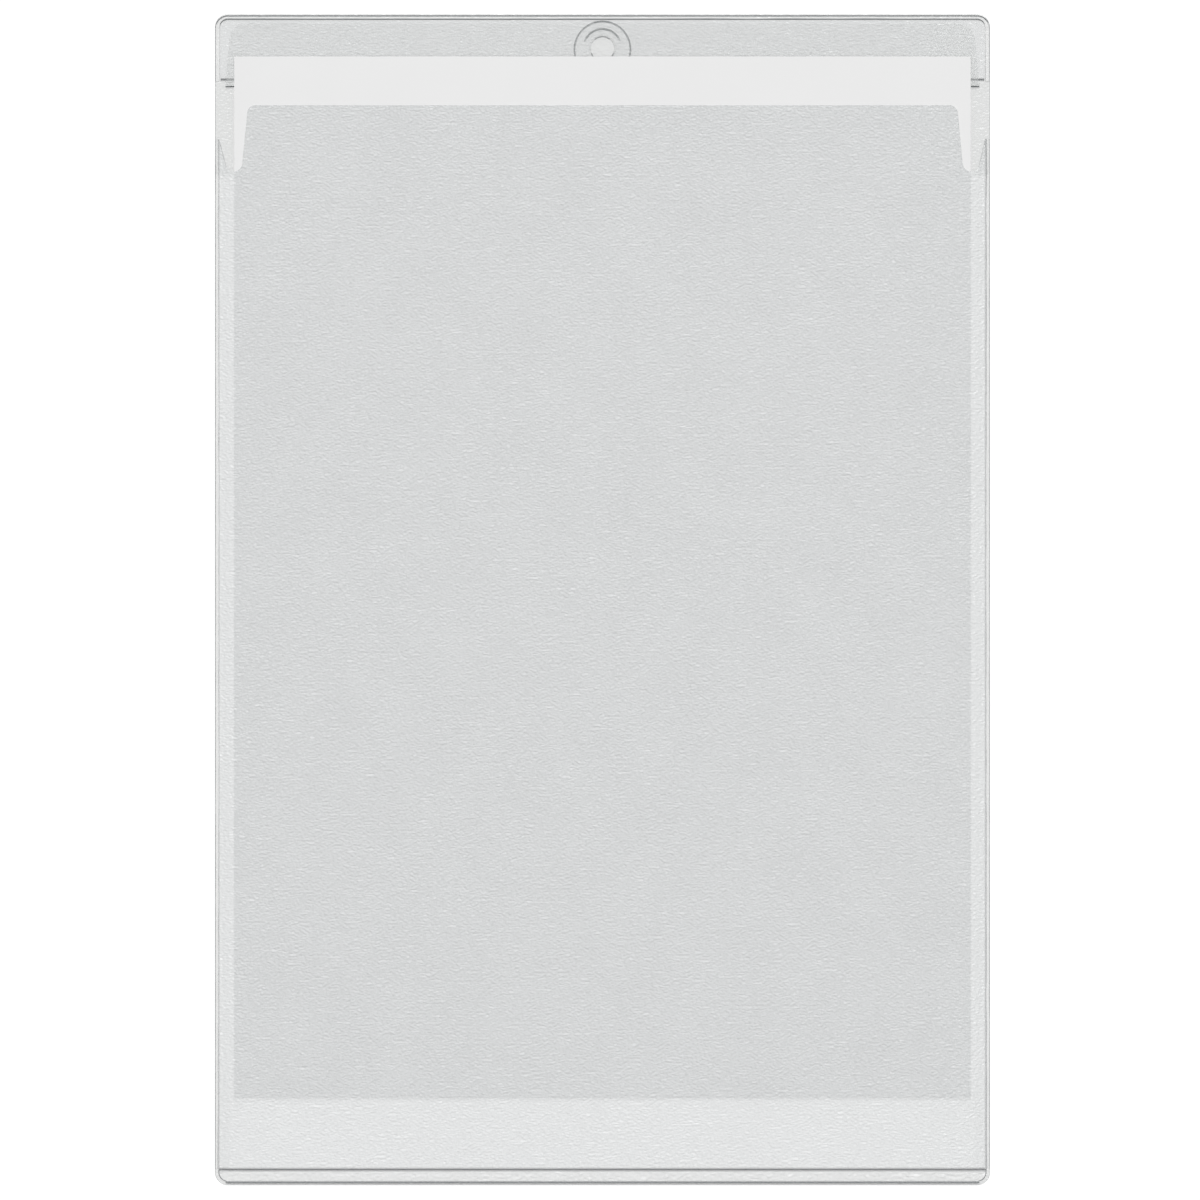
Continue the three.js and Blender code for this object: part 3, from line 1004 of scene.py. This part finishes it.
# Floor: half its side and its level in metres, its colour to light, and the strengths at which it is seen
FLOOR_HALF = 3.0
FLOOR_LEVEL = -0.05 * MM
FLOOR_COLOUR = (0.2, 0.2, 0.2, 1.0)
FLOOR_BARE = 0.88
# Under the films the floor glows at these fixed strengths: painted shade of the films, a little lighter under
# more faces.
FLOOR_UNDER_ONE_FILM = 0.60
FLOOR_UNDER_MORE = 0.685
ONE_FILM_FACES, TWO_FILM_FACES = 2.0, 4.0


def floor():
    """Pale floor, white where it is seen bare. Under see-through faces it glows light grey by their number,
    painted shade of the films over it.
    """
    mesh = bpy.data.meshes.new("floor")
    corners = [(x * FLOOR_HALF, y * FLOOR_HALF, FLOOR_LEVEL) for x, y in ((-1, -1), (1, -1), (1, 1), (-1, 1))]
    mesh.from_pydata(corners, [], [(0, 1, 2, 3)])
    material = bpy.data.materials.new("floor")
    add = new_nodes(material)
    path = add("ShaderNodeLightPath").outputs
    depth = path["Transparent Depth"]
    bare = add("ShaderNodeMath", {0: depth, 1: 0.5}, operation="LESS_THAN")
    under = add("ShaderNodeMapRange", {"Value": depth, "From Min": ONE_FILM_FACES, "From Max": TWO_FILM_FACES,
                                       "To Min": FLOOR_UNDER_ONE_FILM, "To Max": FLOOR_UNDER_MORE})
    strength = add("ShaderNodeMix", {"Factor": bare.outputs[0], VALUE_A: under.outputs[0],
                                     VALUE_B: FLOOR_BARE})
    shown = add("ShaderNodeMath", {0: strength.outputs[0], 1: seen_rays(add, path)}, operation="MULTIPLY")
    glow = add("ShaderNodeEmission", {"Strength": shown.outputs[0]})
    matte = add("ShaderNodeBsdfDiffuse", {"Color": FLOOR_COLOUR})
    both = add("ShaderNodeAddShader", {0: matte.outputs[0], 1: glow.outputs[0]})
    add("ShaderNodeOutputMaterial", {"Surface": both.outputs[0]})
    mesh.materials.append(material)
    plane = bpy.data.objects.new("floor", mesh)
    bpy.context.scene.collection.objects.link(plane)


# Surrounding light at the foot's side and at the header's, and the directions between which it changes
WORLD_LOW, WORLD_HIGH = 0.28, 0.56
WORLD_FROM, WORLD_TO = -0.8, 1.0


def world():
    """Soft surrounding light, brighter from the header's side. White to the camera."""
    surroundings = bpy.data.worlds.new("studio")
    bpy.context.scene.world = surroundings
    add = new_nodes(surroundings)
    direction = add("ShaderNodeTexCoord").outputs["Generated"]
    away = add("ShaderNodeSeparateXYZ", {0: direction}).outputs["Y"]
    light = add("ShaderNodeMapRange", {"Value": away, "From Min": WORLD_FROM, "From Max": WORLD_TO,
                                       "To Min": WORLD_LOW, "To Max": WORLD_HIGH})
    soft = add("ShaderNodeBackground", {"Strength": light.outputs[0]})
    white = add("ShaderNodeBackground", {"Strength": 1.0})
    seen = seen_rays(add, add("ShaderNodeLightPath").outputs)
    mixed = add("ShaderNodeMixShader", {0: seen, 1: soft.outputs[0], 2: white.outputs[0]})
    add("ShaderNodeOutputWorld", {"Surface": mixed.outputs[0]})


# The lamps: name, place in metres, side in metres and power in watts
LAMPS = (
    ("main_light", (0.0, 6.8, 8.8), 4.0, 790.0),
    ("left_light", (-2.6, -3.0, 5.0), 2.0, 50.0),
    ("right_light", (2.6, -3.0, 5.0), 2.0, 50.0),
)


def lamps():
    """Soft square lamps that look at the pocket."""
    pocket_middle = Vector((0, 0, 0))
    for name, place, size, power in LAMPS:
        lamp = bpy.data.lights.new(name, "AREA")
        lamp.size = size
        lamp.energy = power
        made = bpy.data.objects.new(name, lamp)
        made.location = place
        made.rotation_euler = (pocket_middle - Vector(place)).to_track_quat("-Z", "Y").to_euler()
        bpy.context.scene.collection.objects.link(made)


def camera():
    """Straight above the pocket, as in the photograph."""
    frame_width = 342.2 * MM
    centre = (-0.7 * MM, -0.1 * MM)
    lens = 400.0
    sensor = 36.0
    data = bpy.data.cameras.new("camera")
    data.lens = lens
    data.sensor_width = sensor
    made = bpy.data.objects.new("camera", data)
    height = frame_width * lens / sensor
    made.location = (*centre, height + front_high.z * MM / 2)
    bpy.context.scene.collection.objects.link(made)
    bpy.context.scene.camera = made


camera()
world()
lamps()
floor()
back_film()
front_film()
header_film()
flap_film()
header_rims()
side_seams()
cross_seam()
bottom_seam()
eyelet()
sheet()

bpy.context.scene.view_settings.view_transform = "Standard"
cycles = bpy.context.scene.cycles
cycles.transparent_max_bounces = 32
cycles.max_bounces = 4
cycles.diffuse_bounces = 2
cycles.glossy_bounces = 2
